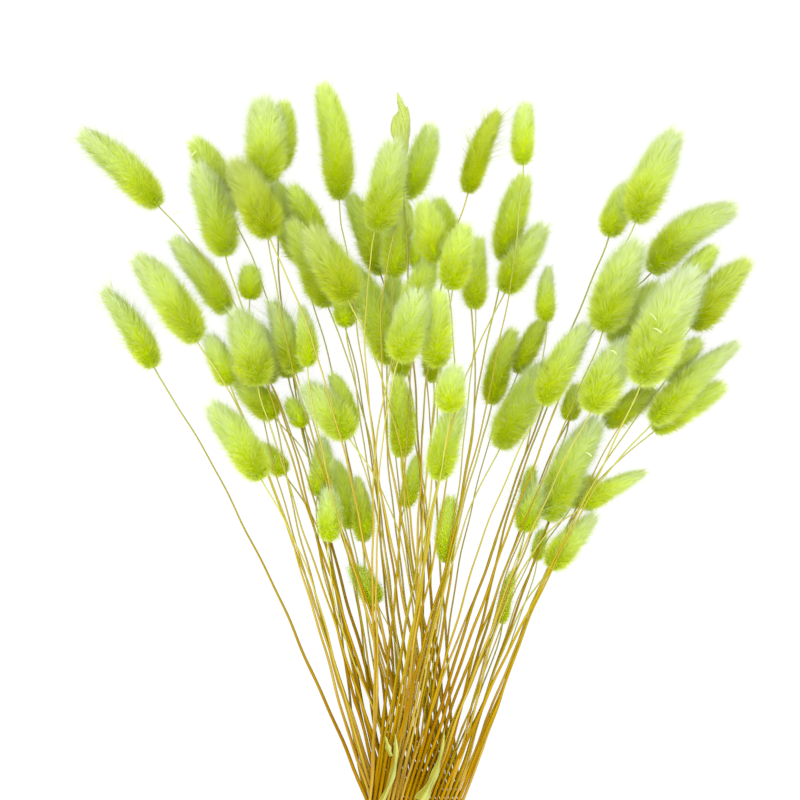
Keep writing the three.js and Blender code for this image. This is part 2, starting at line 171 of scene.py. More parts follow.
def linear(*screen: int) -> Colour:
    """A screen colour as a linear one: c/12.92 in the darks, ((c + 0.055)/1.055)^2.4 above.

    Args:
        screen: Red, green and blue, 0 to 255.

    Returns:
        The linear colour with an alpha of 1.
    """
    shares = [value / 255 for value in screen]
    return (*(c / 12.92 if c <= 0.04045 else ((c + 0.055) / 1.055) ** 2.4 for c in shares), 1.0)


def grey(value: float) -> Colour:
    """A linear grey with an alpha of 1."""
    return (value, value, value, 1.0)


def unit(vectors: Array) -> Array:
    """Rows scaled to length 1."""
    return vectors / np.maximum(np.linalg.norm(vectors, axis=-1, keepdims=True), 1e-12)


def smooth(low: float, high: float, x: Array) -> Array:
    """A smooth step from 0 at low to 1 at high: 3u^2 - 2u^3."""
    u = np.clip((x - low) / (high - low), 0, 1)
    return u * u * (3 - 2 * u)


def seeded(i: int, k: int) -> float:
    """A repeatable number from 0 to 1 for draw k of item i: the fraction of a large sine."""
    x = math.sin(i * 12.9898 + k * 78.233) * 43758.5453
    return x - math.floor(x)


def turned(first: Array, second: Array, angle: Array) -> Array:
    """One direction turned towards another: cos(angle) first + sin(angle) second, row by row."""
    return np.cos(angle)[..., None] * first + np.sin(angle)[..., None] * second


def axes(course: Array) -> tuple[Array, Array, Array]:
    """Forward, level sideways and upward unit vectors for each row of a course."""
    forward = unit(course)
    side = unit(np.cross(forward, UP))
    return forward, side, np.cross(side, forward)


def round_angles(sides: int) -> Array:
    """Even angles once round."""
    return 2 * np.pi * np.arange(sides) / sides


def solid_corners(solid: Object) -> Array:
    """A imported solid's corners as N x 3 places in millimetres."""
    corners = np.zeros(len(solid.data.vertices) * 3, np.float32)
    solid.data.vertices.foreach_get("co", corners)
    return corners.reshape(-1, 3) / MM


def placed(name: str, data: ID, place: tuple[float, ...] = (0.0, 0.0, 0.0)) -> Object:
    """A new object in the scene, at a place in metres."""
    made = bpy.data.objects.new(name, data)
    made.location = place
    bpy.context.scene.collection.objects.link(made)
    return made


@dataclass
class Surface:
    """A mesh in the making: points in millimetres, faces as corner lists, and one map place a corner."""

    points: list[Array] = field(default_factory=list)
    corners: list[Array] = field(default_factory=list)
    sides: list[Array] = field(default_factory=list)
    places: list[Array] = field(default_factory=list)
    slots: list[Array] = field(default_factory=list)
    normals: list[Array] = field(default_factory=list)
    count: int = 0

    def add(self, points: Array, *groups: tuple[Array, Array], slot: int | Array = 0) -> None:
        """Adds points and their faces.

        Args:
            points: N x 3 places in millimetres.
            groups: Faces as M x K point numbers, K corners a face, anticlockwise from outside, each with
                the M x K x 2 places of those corners on the map.
            slot: Which of the piece's materials the faces wear, for all or for each.
        """
        self.points.append(points)
        for faces, places in groups:
            self.corners.append(faces.ravel() + self.count)
            self.sides.append(np.full(len(faces), faces.shape[1]))
            self.places.append(places.reshape(-1, 2))
            self.slots.append(np.full(len(faces), slot))
        self.count += len(points)

    def add_tube(
        self, rings: Array, ends: Array, heights: Array, middle: float, width: float,
        gap: float = TABLE_GAP, slot: int = 0,
    ) -> None:
        """Adds a closed tube: four-sided faces between its rings, and triangles to a point at both ends.

        The map's width takes the turn round the tube: middle + width * (turn - 0.5), turn from 0 to 1.

        Args:
            rings: N x S x 3 places, ring by ring.
            ends: The points that close the first and the last ring.
            heights: Each ring's height on the map.
            middle: Where the tube lies on the map's width.
            width: How much of that width it takes.
            gap: The least height over the table.
            slot: Which of the piece's materials it wears.
        """
        count, sides = rings.shape[:2]
        points = np.vstack([rings.reshape(-1, 3), ends])
        points[:, 2] = np.maximum(points[:, 2], gap)
        row, k = np.meshgrid(np.arange(count - 1), np.arange(sides), indexing="ij")
        here, after = row * sides + k, row * sides + (k + 1) % sides
        walls = np.stack([here, here + sides, after + sides, after], -1).reshape(-1, 4)
        turn = middle + width * (np.stack([k, k, k + 1, k + 1], -1) / sides - 0.5)
        rise = np.stack([heights[row], heights[row + 1], heights[row + 1], heights[row]], -1)
        here, after = here[0], after[0]
        last, tip = (count - 1) * sides, np.full(sides, count * sides)
        closing = np.vstack([
            np.stack([here, after, tip], -1), np.stack([last + after, last + here, tip + 1], -1),
        ])
        slim = np.array([[-0.02, 0.0], [0.02, 0.0], [0.0, 0.004]])
        end_places = np.repeat([(middle, heights[0]) + slim, (middle, heights[-1]) - slim], sides, axis=0)
        self.add(points, (walls, np.stack([turn, rise], -1)), (closing, end_places), slot=slot)

    def build(self, name: str, materials: list[Material], soft: bool) -> Object:
        """Puts the arrays into a mesh object at the origin.

        Args:
            name: The piece's name.
            materials: Its materials, in slot order.
            soft: Whether its faces are shaded smooth.

        Returns:
            The object, linked to the scene.
        """
        points = np.concatenate(self.points) * MM
        corners = np.concatenate(self.corners).astype(np.int32)
        sides = np.concatenate(self.sides)
        mesh = bpy.data.meshes.new(name)
        mesh.vertices.add(len(points))
        mesh.vertices.foreach_set("co", points.astype(np.float32).ravel())
        mesh.loops.add(len(corners))
        mesh.loops.foreach_set("vertex_index", corners)
        mesh.polygons.add(len(sides))
        starts = np.concatenate([[0], np.cumsum(sides)[:-1]]).astype(np.int32)
        mesh.polygons.foreach_set("loop_start", starts)
        mesh.polygons.foreach_set("material_index", np.concatenate(self.slots).astype(np.int32))
        mesh.polygons.foreach_set("use_smooth", np.full(len(sides), soft))
        mesh.uv_layers.new(name=MAP_NAME)
        mesh.uv_layers[MAP_NAME].uv.foreach_set(
            "vector", np.concatenate(self.places).astype(np.float32).ravel()
        )
        for material in materials:
            mesh.materials.append(material)
        mesh.update(calc_edges=True)
        if self.normals:
            own = mesh.attributes.new("custom_normal", "FLOAT_VECTOR", "POINT")
            own.data.foreach_set("vector", np.concatenate(self.normals).astype(np.float32).ravel())
        return placed(name, mesh)


@dataclass
class Flower:
    """One flower as it lies: its place in the bunch, its stem's knots and its head's axis."""

    index: int
    sheet: int
    column: int
    base: Array
    direction: Array
    length: float
    width: float
    knots: Array
    slope: float = 0.0

    @property
    def node(self) -> str:
        """The solid that holds this flower."""
        layer = "upper" if self.sheet > 1 else "lower"
        return f"flowers_{layer}_{self.column + 1:02d}"

    @property
    def kind(self) -> Tint:
        """The head's shade."""
        return next((tint for tint, heads in TINTED_HEADS.items() if self.index in heads), Tint.PLAIN)

    @property
    def tint(self) -> float:
        """The head's place on the tint scale, with a small seeded stray."""
        return self.kind.value + 0.16 * (seeded(self.index, 5) - 0.5)

    @property
    def across(self) -> Array:
        """The direction across the head in plan."""
        return np.array([self.direction[1], -self.direction[0]])

    def axis(self, t: Array) -> Array:
        """The head's axis: base + direction * length * t, bowed outwards by 4 t (1 - t) of the bow.

        Args:
            t: Shares of the head's length.

        Returns:
            Places in millimetres, in the bunch's frame.
        """
        most = CURVED_BOW if self.index == CURVED_HEAD else HEAD_BOW
        bow = -most * self.length * np.sign((self.base + BOX_MIDDLE)[0]) * 4 * t * (1 - t)
        flat = self.base + np.outer(t, self.direction) * self.length + np.outer(bow, self.across)
        rise = self.knots[-1, 2] + self.slope * t * self.length
        return np.column_stack([flat, rise])

    def frame_at(self, t: Array) -> tuple[Array, Array, Array]:
        """Forward, sideways and upward unit vectors of the head at shares t of its length."""
        return axes(self.axis(t + 0.01) - self.axis(t - 0.01))


class Bunch:
    """Works out where every flower lies: places in plan from the list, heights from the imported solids."""

    def __init__(self, nodes: dict[str, Object]) -> None:
        """Reads the list of heads and the solids.

        Args:
            nodes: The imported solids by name.
        """
        rows = np.array(LEFT_HEADS + RIGHT_HEADS, float)
        self.base = self.plan(rows[:, 0:2])
        self.tip = self.plan(rows[:, 2:4])
        self.width = rows[:, 4] * MM_PER_PIXEL
        self.fan = np.arctan2(self.base[:, 0], self.base[:, 1])
        self.flowers: list[Flower] = []
        self.lay(nodes)

    @staticmethod
    def plan(pixels: Array) -> Array:
        """Picture pixels as millimetres in plan from the waist: right is +X and up is +Y."""
        return (pixels - WAIST_PIXEL) * MM_PER_PIXEL * np.array([1.0, -1.0])

    def lay(self, nodes: dict[str, Object]) -> None:
        """Gives each flower its sheet, column and knots, as the solids have them.

        Args:
            nodes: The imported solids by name.
        """
        per_sheet = math.ceil(len(self.base) / len(SHEET_LEANS))
        for sheet, lean in enumerate(SHEET_LEANS):
            members = list(range(sheet * per_sheet, min((sheet + 1) * per_sheet, len(self.base))))
            members.sort(key=lambda i: self.fan[i])
            for column, i in enumerate(members):
                place = column - (per_sheet - 1) / 2
                stray = (seeded(i, 3) - 0.5) * STRAY_BELOW
                below = math.radians(lean - place * SPREAD_BELOW + stray)
                knots = self.knots(i, place * COLUMN_PITCH, math.radians(lean), below)
                head = self.tip[i] - self.base[i]
                length = float(np.linalg.norm(head))
                flower = Flower(
                    i, sheet, column, self.base[i] - BOX_MIDDLE, head / length, length, self.width[i],
                    np.column_stack([knots - BOX_MIDDLE, np.zeros(len(knots))]),
                )
                self.read_heights(flower, nodes[flower.node])
                self.flowers.append(flower)
        self.flowers.sort(key=lambda flower: flower.index)

    def knots(self, i: int, waist_x: float, lean: float, below: float) -> Array:
        """A stem's knots in plan: cut end, joint, and a cubic curve that runs on into the head's line.

        Args:
            i: The flower's number.
            waist_x: Its place across the waist.
            lean: Its sheet's lean, in radians from +Y.
            below: Its own lean below the waist.

        Returns:
            K x 2 places from the waist.
        """
        away_angle = lean + FAN_SHARE * (self.fan[i] - lean)
        away = np.array([math.sin(away_angle), math.cos(away_angle)])
        low = np.array([math.sin(below), math.cos(below)])
        waist = np.array([waist_x, 0.0])
        start = waist + away * JOINT_HALF_LENGTH
        reach = float(np.linalg.norm(self.base[i] - start))
        ahead = unit(self.tip[i] - self.base[i])
        steps = max(2, math.floor(reach / STEM_STEP + 0.5))
        u = np.linspace(0, 1, steps + 1)[:, None]
        second = start + away * reach / 3
        third = self.base[i] - ahead * reach / 3
        curve = (
            (1 - u) ** 3 * start + 3 * (1 - u) ** 2 * u * second
            + 3 * (1 - u) * u ** 2 * third + u ** 3 * self.base[i]
        )
        length_below = LENGTH_BELOW + (seeded(i, 2) - 0.5) * LENGTH_SPREAD
        return np.vstack([waist - low * length_below, waist - low * JOINT_HALF_LENGTH, waist, curve])

    @staticmethod
    def read_heights(flower: Flower, solid: Object) -> None:
        """Sets the knots' heights and the head's slope from the solid's own corners.

        A ring of three corners stands round each knot, so their mean height is the knot's. The head's
        tip is a corner by itself.

        Args:
            flower: The flower, with its knots in plan.
            solid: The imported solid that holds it.
        """
        corners = np.unique(np.round(solid_corners(solid), 3), axis=0)
        flower.knots[:4, 2] = STEM_RADIUS / 2 + SHEET_HEIGHTS[flower.sheet]
        for k in range(4, len(flower.knots)):
            distance = np.linalg.norm(corners[:, :2] - flower.knots[k, :2], axis=1)
            near = corners[distance < 1.02 * STEM_RADIUS]
            if len(near) != 3:
                LOG.warning("flower %d knot %d has %d corners", flower.index, k, len(near))
                near = corners[np.argsort(distance)[:3]]
            flower.knots[k, 2] = near[:, 2].mean()
        tip = flower.base + flower.direction * flower.length
        nearest = corners[np.argmin(np.linalg.norm(corners[:, :2] - tip, axis=1))]
        flower.slope = (nearest[2] - flower.knots[-1, 2]) / flower.length


@dataclass
class Stems:
    """Round, slightly waved stems with swollen joints, thick at the cut end and fine below the head.

    A pair of numbers for a stray or a first joint is the least value and how much a seeded share adds.
    """

    material: Material
    sides: int = 6
    ring_step: float = 7.0
    low_radius: float = 0.92
    high_radius: float = 0.38
    taper_span: tuple[float, float] = (0.2, 0.85)
    stray: tuple[float, float] = (0.85, 0.3)
    into_head: float = 0.12
    wave: float = 0.35
    wave_lengths: tuple[float, float] = (13.0, 6.1)
    second_wave: float = 0.6
    wave_turn: float = 6.283
    waist_fade: tuple[float, float] = (3.0, 30.0)
    head_fade: tuple[float, float] = (0.0, 25.0)
    first_joint: tuple[float, float] = (40.0, 50.0)
    joint_gaps: tuple[float, ...] = (0.0, 95.0, 225.0)
    joint_free_end: float = 60.0
    joint_swell: float = 0.32
    joint_half_length: float = 1.6
    table_gap: float = 0.02
    strip_fill: float = 0.92

    def strayed(self, flower: Flower, draw: int) -> float:
        """The factor by which one of a stem's sizes strays."""
        low, span = self.stray
        return low + span * seeded(flower.index, draw)

    def build(self, name: str, flowers: list[Flower]) -> Object:
        """Makes the stems of one solid as one piece.

        Args:
            name: The piece's name.
            flowers: The flowers whose stems it holds.

        Returns:
            The piece.
        """
        surface = Surface()
        for lane, flower in enumerate(flowers):
            self.add_stem(surface, flower, (lane + 0.5) / len(flowers), self.strip_fill / len(flowers))
        return surface.build(name, [self.material], True)

    def line(self, flower: Flower) -> tuple[Array, Array]:
        """A stem's middle line: cubic pieces through its knots, with two sines sideways.

        The pieces take the knots' own mean directions. The sines fade out at the waist and at the head.

        Args:
            flower: The flower.

        Returns:
            The places, and their distances from the cut end.
        """
        knots = np.vstack([flower.knots, flower.axis(np.array([self.into_head]))])
        gaps = np.linalg.norm(np.diff(knots, axis=0), axis=1)
        along = np.concatenate([[0.0], np.cumsum(gaps)])
        rates = np.gradient(knots, along, axis=0)
        samples = []
        for k, gap in enumerate(gaps):
            count = max(2, min(16, math.ceil(gap / self.ring_step)))
            u = np.linspace(0, 1, count, endpoint=False)[:, None]
            samples.append(
                (2 * u ** 3 - 3 * u ** 2 + 1) * knots[k] + (u ** 3 - 2 * u ** 2 + u) * gap * rates[k]
                + (3 * u ** 2 - 2 * u ** 3) * knots[k + 1] + (u ** 3 - u ** 2) * gap * rates[k + 1]
            )
        line = np.vstack([*samples, knots[-1:]])
        walked = np.concatenate([[0.0], np.cumsum(np.linalg.norm(np.diff(line, axis=0), axis=1))])
        first, second = (
            np.sin(walked / length + self.wave_turn * seeded(flower.index, draw))
            for length, draw in zip(self.wave_lengths, (7, 8))
        )
        waist = along[2]
        ease = smooth(*self.waist_fade, np.abs(walked - waist))
        ease = ease * smooth(*self.head_fade, walked[-1] - walked)
        _, side, _ = axes(np.gradient(line, axis=0))
        return line + side * (self.wave * (first + self.second_wave * second) * ease)[:, None], walked

    def add_stem(self, surface: Surface, flower: Flower, middle: float, width: float) -> None:
        """Adds one stem: rings of the tapering radius carried along its line, closed at both ends.

        Args:
            surface: The piece in the making.
            flower: The flower.
            middle: The middle of the stem's strip of the map.
            width: The strip's width.
        """
        line, walked = self.line(flower)
        share = walked / walked[-1]
        near = np.abs(walked[:, None] - self.joints(flower, walked[-1])).min(axis=1)
        radius = self.low_radius + (self.high_radius - self.low_radius) * smooth(*self.taper_span, share)
        radius = radius * self.strayed(flower, 9)
        radius = radius * (1 + self.joint_swell * np.exp(-((near / self.joint_half_length) ** 2)))
        _, side, up = axes(np.gradient(line, axis=0))
        spokes = turned(side[:, None, :], up[:, None, :], round_angles(self.sides))
        rings = line[:, None, :] + radius[:, None, None] * spokes
        surface.add_tube(rings, line[[0, -1]], share, middle, width, self.table_gap)

    def joints(self, flower: Flower, length: float) -> Array:
        """Where a stem's swollen joints stand, from its cut end: wider apart higher up."""
        low, span = self.first_joint
        places = low + span * seeded(flower.index, 11) + np.array(self.joint_gaps) * self.strayed(flower, 12)
        return places[places < length - self.joint_free_end]


@dataclass(frozen=True)
class AwnGrowth:
    """How a head's awns grow. Their lengths in millimetres are longest * random^power beyond the coat."""

    count: int
    start: float
    span: float
    longest: float
    power: float
    half_width: float


PLAIN_AWNS = AwnGrowth(count=60, start=0.05, span=0.95, longest=4.5, power=1.0, half_width=0.1)
LONG_AWNS = AwnGrowth(count=220, start=0.3, span=0.68, longest=15.0, power=1.4, half_width=0.16)


@dataclass
class Heads:
    """Soft heads: a green core of spikelets under a coat of fine hairs that sweep from base to tip."""

    materials: list[Material]
    hairs_in_all: int = 840_000
    core_share: float = 0.6
    core_ends: tuple[float, float] = (0.02, 0.93)
    core_sides: int = 14
    core_rings: int = 12
    core_map_width: float = 0.08
    bump: float = 0.05
    bump_turn: float = 6.28
    hair_share: float = 0.5
    hair_width: float = 0.26
    hair_map_half: float = 0.006
    lift_stray: float = 0.12
    swirl: float = 0.16
    swirl_stray: float = 0.11
    roll_stray: float = 0.5
    facing_stray: float = 0.22
    fuzz_share: float = 0.1
    fuzz_width: float = 0.62
    awn_map_half: float = 0.01
    awn_gap: float = 0.15
    bent_half_width: float = 0.3
    spikelets: int = 80
    gather: float = 0.22
    tip_gather: float = 1.3
    most_taper: float = 0.5
    sheathed_share: float = 0.5
    sheathed_lift: float = 0.45
    hair_seed: int = 1000
    awn_seed: int = 5000
    tuft_seed: int = 9000

    @staticmethod
    def profile(v: Array) -> Array:
        """The core's radius along its length, as a share of the greatest: sqrt(1 - |2 v^0.86 - 1|^2.8)."""
        across = np.abs(2 * np.clip(v, 0, 1) ** 0.86 - 1)
        return np.sqrt(1 - np.minimum(across, 1) ** 2.8)

    @staticmethod
    def lift(v: Array) -> Array:
        """The hairs' angle from the head's axis, in radians: past upright at the base, low at the tip."""
        return np.radians(np.interp(v, [0, 0.06, 0.2, 0.45, 0.75, 1.0], [116, 94, 70, 54, 42, 18]))

    @staticmethod
    def reach(v: Array) -> Array:
        """The hairs' length along the head, as a share: short at the base and long at the tip."""
        return np.interp(v, [0, 0.1, 0.3, 0.8, 1.0], [0.7, 0.85, 1.0, 1.15, 1.5])

    @staticmethod
    def forward_lean(v: Array) -> Array:
        """How far the coat faces along the axis: backwards at the base and forwards at the tip."""
        return np.interp(v, [0, 0.15, 0.5, 0.8, 1.0], [-0.8, -0.2, 0.1, 0.5, 1.6])

    def taper(self, flower: Flower, v: Array) -> Array:
        """How the head narrows towards its tip: 1 - most v^1.6, the most for the pointed heads."""
        pointed = flower.index in TAPERED_HEADS
        return 1 - self.most_taper * (1.0 if pointed else 0.55 * seeded(flower.index, 23)) * v ** 1.6

    def core_points(self, flower: Flower, v: Array, turn: Array) -> tuple[Array, Array, Array]:
        """Points of the core's surface, the outward directions there, and those of the axis.

        Args:
            flower: The flower.
            v: Shares of the core's length.
            turn: Angles round the axis, in radians.

        Returns:
            The points, and the outward and forward unit vectors.
        """
        low, high = self.core_ends
        t = low + (high - low) * v
        forward, side, up = flower.frame_at(t)
        outward = turned(side, up, turn)
        bumps = 1 + self.bump * np.sin(5 * turn + 19 * v + self.bump_turn * seeded(flower.index, 21))
        share = self.core_share * (self.sheathed_share if flower.index == SHEATHED_HEAD else 1.0)
        radius = 0.5 * flower.width * share * self.profile(v) * self.taper(flower, v) * bumps
        return flower.axis(t) + outward * radius[:, None], outward, forward

    def add_core(self, surface: Surface, flower: Flower) -> None:
        """Adds the closed core: rings round the head's axis with a point at both ends."""
        v = np.linspace(0, 1, self.core_rings + 2)[1:-1]
        turn = np.tile(round_angles(self.core_sides), len(v))
        rings, outward, _ = self.core_points(flower, np.repeat(v, self.core_sides), turn)
        forward, _, _ = flower.frame_at(np.array([0.5]))
        surface.normals.append(unit(np.vstack([outward, -forward, forward])))
        rise = Part.CORE.at(np.minimum(2 * v, 0.93 + 0.05 * v))
        surface.add_tube(
            rings.reshape(len(v), -1, 3), flower.axis(np.array(self.core_ends)), rise, flower.tint,
            self.core_map_width, slot=Part.CORE.slot,
        )

    def add_hairs(self, surface: Surface, flower: Flower, count: int) -> None:
        """Adds the coat: one thin tapering blade a hair, rooted evenly over the core.

        A root's place along the head follows the core's girth, and round it the golden angle. The hair
        leaves at the lift angle, strays a little, and leans towards the tip of its nearest spikelet. The
        fuzz, a small share of them, is longer and finer and stays out of the tufts.

        Args:
            surface: The piece in the making.
            flower: The flower.
            count: How many hairs the head gets.
        """
        rng = np.random.default_rng(self.hair_seed + flower.index)
        grid = np.linspace(0, 1, 400)
        girth = np.cumsum(self.profile(grid) + 0.6 * np.exp(-grid / 0.05) + 0.1)
        v = np.interp((np.arange(count) + rng.random(count)) / count, girth / girth[-1], grid)
        turn = GOLDEN_ANGLE * np.arange(count) + 0.5 * rng.random(count)
        roots, outward, forward = self.core_points(flower, v, turn)
        lift = self.lift(v) * (0.4 + 0.6 * self.taper(flower, v)) + rng.normal(0, self.lift_stray, count)
        if flower.index == SHEATHED_HEAD:
            lift = lift * self.sheathed_lift
        swirl = self.swirl * np.sin(3 * turn + 9 * v + self.bump_turn * seeded(flower.index, 22))
        swirl = swirl + rng.normal(0, self.swirl_stray, count)
        course = unit(turned(forward, outward, lift) + swirl[:, None] * np.cross(forward, outward))
        fuzz = rng.random(count) < self.fuzz_share
        stretch = np.where(fuzz, 1.1 + 0.65 * rng.random(count), 0.56 + 0.9 * rng.random(count) ** 2.2)
        length = 0.5 * flower.width * self.hair_share * stretch * self.reach(v)
        tips = roots + course * length[:, None]
        tips = np.where(fuzz[:, None], tips, self.gathered(flower, v, turn, tips, length))
        course = unit(tips - roots)
        flat = unit(np.cross(course, outward + 0.3 * forward))
        across = turned(flat, np.cross(course, flat), rng.normal(0, self.roll_stray, count))
        thick = np.where(fuzz, self.fuzz_width, 1.0) * (0.8 + 0.4 * rng.random(count))
        half = across * (0.5 * self.hair_width * thick)[:, None]
        facing = outward + self.forward_lean(v)[:, None] * forward
        facing = unit(facing + self.facing_stray * rng.normal(0, 1, (count, 3)))
        half[np.sum(np.cross(half, course) * facing, axis=1) < 0] *= -1
        points = np.stack([roots - half, roots + half, tips], 1).reshape(-1, 3)
        points[:, 2] = np.maximum(points[:, 2], TABLE_GAP + 0.3 * rng.random(len(points)))
        surface.normals.append(np.repeat(facing, 3, axis=0))
        faces = np.arange(3 * count).reshape(-1, 3)
        slots = np.where(fuzz, Part.AWN.slot, Part.HAIR.slot)
        surface.add(points, (faces, self.hair_places(flower, v, fuzz, rng)), slot=slots)

    def hair_places(self, flower: Flower, v: Array, fuzz: Array, rng: np.random.Generator) -> Array:
        """Where the hairs' corners lie on the map, which gives each its tint and its depth of colour.

        The coat is deepest a fifth of the way up, where a few hairs are olive flecks, and palest at both
        ends; that deeper colour, more so towards the base, is partly the coat's own green and partly
        painted shade round the stem. The heads that lie on top of their half of the bunch are paler than
        the others: painted light on the top heads, and painted shade on those below and the deep-tinted ones.

        Args:
            flower: The flower.
            v: The roots' shares of the core's length.
            fuzz: Which hairs are fuzz.
            rng: The coat's random numbers.

        Returns:
            N x 3 x 2 places.
        """
        count = len(v)
        middle = np.exp(-(((v - 0.22) / 0.2) ** 2))
        tone = np.clip(flower.tint + rng.normal(0, 0.07, count) - 0.2 * middle, 0.02, 0.98)
        # Partly painted shade: the hairs are deeper towards the base and a fifth of the way up.
        deep = (0.36 * middle + 0.24 * (1 - v)) * rng.random(count)
        # Painted light and shade: paler tips on the heads on top of each half, deeper tips on those below.
        lit_on_top = flower.sheet in (1, 3) and flower.kind is not Tint.DEEP_IN_SHADE
        lit_paleness, palest = (1.35, 1.0) if lit_on_top else (1.0, 0.86)
        pale = lit_paleness * (0.42 * v ** 1.4 + 0.22 * np.exp(-v / 0.05)) + rng.normal(0, 0.05, count)
        fleck = rng.random(count) < 0.12 * middle
        tone = np.where(fleck, 0.02, tone)
        low, high = np.clip([0.02 + pale, palest - deep - 0.5 * fleck], 0, 1)
        low = np.where(fuzz, Part.AWN.at(0.6), Part.HAIR.at(low))
        high = np.where(fuzz, Part.AWN.at(1.0), Part.HAIR.at(high))
        return np.stack([
            np.stack([tone + way * self.hair_map_half, height], -1)
            for way, height in ((-1, low), (1, low), (0, high))
        ], 1)

    def gathered(self, flower: Flower, v: Array, turn: Array, tips: Array, length: Array) -> Array:
        """Draws the hairs' tips together in tufts, each towards the mean tip of its spikelet.

        Args:
            flower: The flower.
            v: The roots' shares of the core's length.
            turn: Their angles round the axis.
            tips: The hairs' tips.
            length: The hairs' lengths.

        Returns:
            The moved tips.
        """
        rng = np.random.default_rng(self.tuft_seed + flower.index)
        k = np.arange(self.spikelets)
        middle_v = (k + rng.random(self.spikelets)) / self.spikelets
        middle_turn = GOLDEN_ANGLE * k + rng.normal(0, 0.5, self.spikelets)
        girth = np.pi * flower.width * self.core_share * np.maximum(self.profile(v), 0.2)
        span = flower.length * (self.core_ends[1] - self.core_ends[0])
        off = (turn[:, None] - middle_turn + np.pi) % (2 * np.pi) - np.pi
        gap = ((v[:, None] - middle_v) * span) ** 2 + (off * girth[:, None] / (2 * np.pi)) ** 2
        owner = gap.argmin(axis=1)
        total = np.maximum(np.bincount(owner, minlength=self.spikelets), 1)
        means = np.stack([np.bincount(owner, tips[:, a], self.spikelets) / total for a in range(3)], -1)
        pull = self.gather * smooth(0.1, 1.0, 0.3 + 0.7 * np.clip(length / length.max(), 0, 1))
        pull = pull * (1 + self.tip_gather * smooth(0.55, 1.0, v))
        return tips + (means[owner] - tips) * pull[:, None]

    def add_awns(self, surface: Surface, flower: Flower) -> None:
        """Adds a few longer, finer awns that stand out of the coat: two-part blades with a slight bend.

        Those of the long-awned heads stand out to both sides.

        Args:
            surface: The piece in the making.
            flower: The flower.
        """
        rng = np.random.default_rng(self.awn_seed + flower.index)
        awned = flower.index in AWNED_HEADS
        growth = LONG_AWNS if awned else PLAIN_AWNS
        count = growth.count
        v = growth.start + growth.span * rng.random(count)
        turn = 2 * np.pi * rng.random(count)
        if awned:
            turn = np.pi * np.round(rng.random(count)) + rng.normal(0, 0.5, count)
        roots, outward, forward = self.core_points(flower, v, turn)
        lift = self.lift(v) * (0.8 + 0.3 * rng.random(count))
        around = np.cross(forward, outward) * rng.normal(0, 0.18, count)[:, None]
        course = unit(turned(forward, outward, lift) + around)
        length = 0.5 * flower.width * self.hair_share + growth.longest * rng.random(count) ** growth.power
        across = unit(np.cross(course, outward)) * growth.half_width
        bend = (outward * 0.1 + forward * 0.12) * length[:, None]
        middles = roots + course * (0.55 * length)[:, None] + 0.25 * bend
        tips = roots + course * length[:, None] + bend
        points = np.stack(
            [roots - across, roots + across, middles + 0.7 * across, middles - 0.7 * across, tips], 1
        ).reshape(-1, 3)
        points[:, 2] = np.maximum(points[:, 2], self.awn_gap)
        surface.normals.append(np.repeat(unit(outward + 0.2 * forward), 5, axis=0))
        tone = np.clip(flower.tint + 0.1, 0.05, 0.95)
        low, high, end = Part.AWN.at(np.array([0.5, 0.8, 0.99]))
        left, right = tone - self.awn_map_half, tone + self.awn_map_half
        places = np.array([(left, low), (right, low), (right, high), (left, high), (tone, end)])
        first = 5 * np.arange(count)[:, None]
        groups = [
            (first + face, np.tile(places[face], (count, 1, 1))) for face in ([0, 1, 2, 3], [3, 2, 4])
        ]
        surface.add(points, *groups, slot=Part.AWN.slot)

    def add_bent_awns(self, surface: Surface, flower: Flower) -> None:
        """Adds the head's stiff bent awns: slim blades on top of the coat, bowed sideways by a half sine.

        Args:
            surface: The piece in the making.
            flower: The flower.
        """
        for ends in (row[1:] for row in BENT_AWNS if row[0] == flower.index):
            start, end = Bunch.plan(np.array(ends, float).reshape(2, 2)) - BOX_MIDDLE
            course = end - start
            side = np.array([-course[1], course[0]]) / np.linalg.norm(course)
            u = np.linspace(0, 1, 6)
            flat = start + np.outer(u, course) + np.outer(0.5 * np.sin(np.pi * u), side)
            away = flat - flower.base
            share = away @ flower.direction / flower.length
            off = away @ flower.across / (0.5 * flower.width)
            coat = 0.5 * flower.width * np.sqrt(np.clip(1 - off ** 2, 0.05, 1)) + 0.5
            rise = np.interp(share, [0, 1], flower.axis(np.array([0.0, 1.0]))[:, 2]) + coat
            half = self.bent_half_width * np.sqrt(np.clip(u * (1.06 - u) * 4, 0.02, 1))[:, None] * side
            points = np.vstack([np.column_stack([flat + way * half, rise]) for way in (-1, 1)])
            k = np.arange(len(u) - 1)
            quads = np.stack([k, k + 1, k + 1 + len(u), k + len(u)], -1)
            place = (np.clip(flower.tint + 0.3, 0.1, 0.95), Part.BENT.at(0.6))
            corners = place + 0.01 * np.array([[0, 0], [0, 1], [1, 1], [1, 0]])
            surface.normals.append(np.tile(UP, (len(points), 1)))
            surface.add(points, (quads, np.tile(corners, (len(quads), 1, 1))), slot=Part.BENT.slot)

    def build(self, name: str, flowers: list[Flower], girth_in_all: float) -> Object:
        """Makes the heads of one solid as one piece.

        Args:
            name: The piece's name.
            flowers: The flowers whose heads it holds.
            girth_in_all: The sum of length times width over all the heads, which shares out the hairs.

        Returns:
            The piece.
        """
        surface = Surface()
        total = self.hairs_in_all
        for flower in flowers:
            count = int(total * flower.length * flower.width / girth_in_all)
            if flower.index == SHEATHED_HEAD:
                count = int(count * self.sheathed_share)
            self.add_core(surface, flower)
            self.add_hairs(surface, flower, count)
            self.add_awns(surface, flower)
            self.add_bent_awns(surface, flower)
        return surface.build(name, self.materials, False)


def new_material(name: str) -> tuple[Material, Node, NodeTree]:
    """A material with its main shader, and the tree that they are in."""
    material = bpy.data.materials.new(name)
    material.use_nodes = True
    tree = material.node_tree
    return material, tree.nodes["Principled BSDF"], tree


